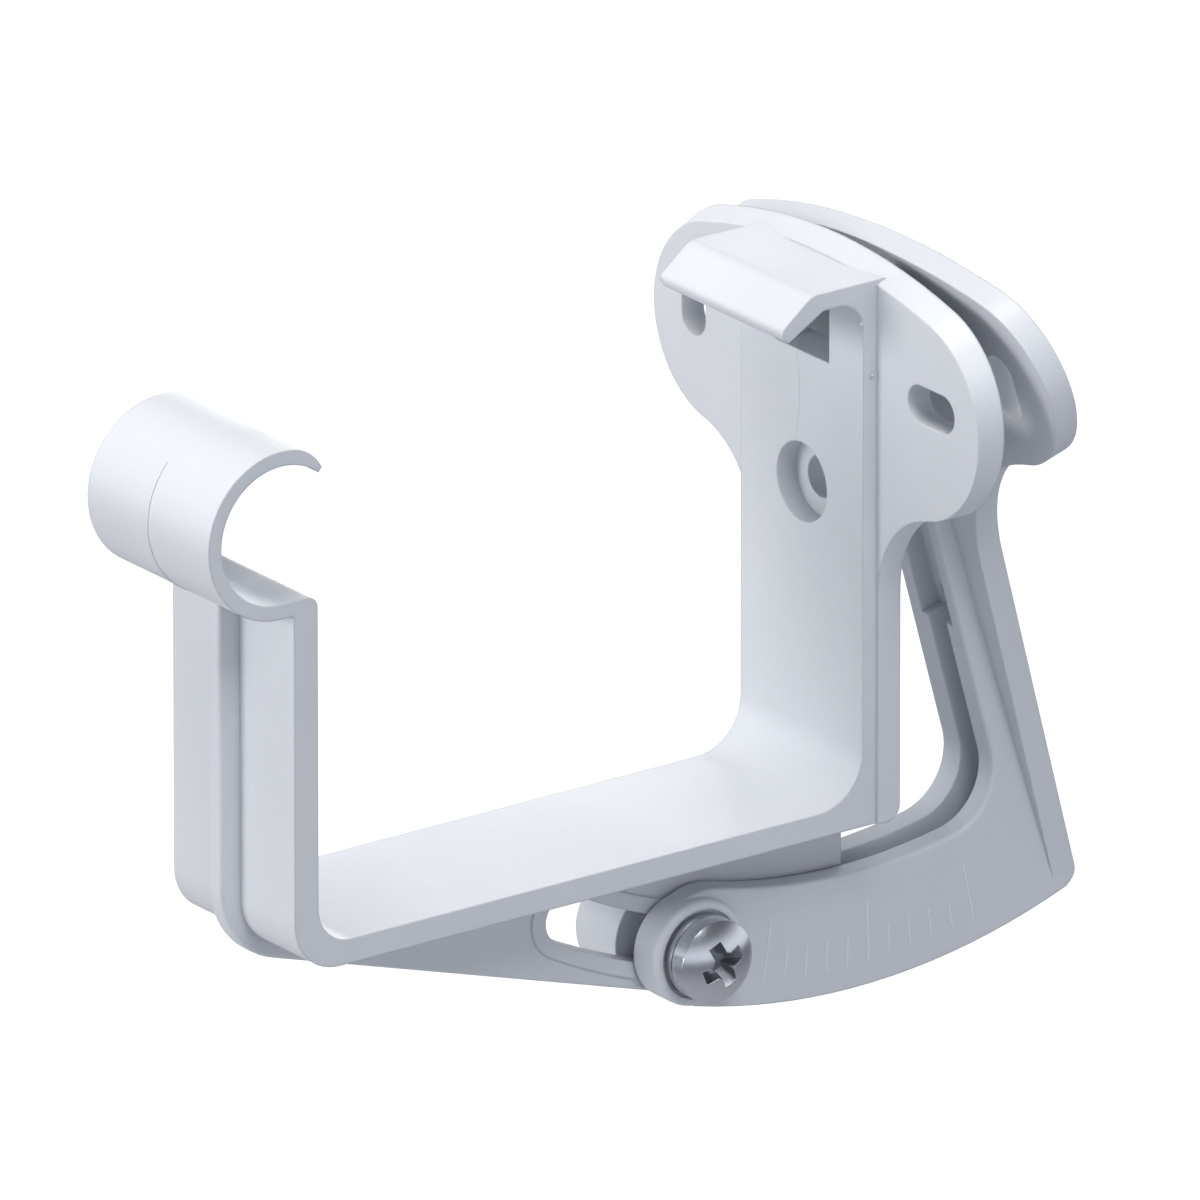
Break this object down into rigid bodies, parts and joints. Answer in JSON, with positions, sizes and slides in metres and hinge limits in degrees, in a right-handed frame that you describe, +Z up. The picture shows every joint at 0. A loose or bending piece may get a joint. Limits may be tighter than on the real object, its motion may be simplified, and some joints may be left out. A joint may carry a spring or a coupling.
{
  "type": "gutter bracket",
  "caption": "Tilting bracket that holds a rain gutter on a sloping fascia: strap hook with bead scroll, hinged rear plate, graduated fork and clamp screw.",
  "frame": {"origin": "axis of the rear plate's middle screw hole at the plate's back face, where it meets the fascia", "axes": "X along the gutter, +Y towards the fascia, +Z up; the hook is upright and the rear plate leans back by 17.5 degrees"},
  "size_m": [0.0783, 0.1539, 0.1098],
  "materials": {
    "hook_plastic": "satin",
    "plate_plastic": "satin",
    "screw_steel": "bright",
    "washer_steel": "satin",
    "nut_steel": "satin"
  },
  "bodies": {
    "rear": {"rear_plate": "plate_plastic", "clamp_washer": "washer_steel", "clamp_nut": "nut_steel"},
    "hook": {"gutter_hook": "hook_plastic"},
    "screw": {"clamp_screw": "screw_steel"}
  },
  "joints": [
    {"name": "tilt", "type": "hinge", "parent": "rear", "child": "hook", "pos_m": [0, -0.01672, 0.02776], "axis": [1, 0, 0], "range_deg": [-9, 11]},
    {"name": "clamp_turn", "type": "hinge", "parent": "rear", "child": "screw", "pos_m": [0, -0.04419, -0.0659], "axis": [1, 0, 0], "range_deg": [0, 360]}
  ]
}
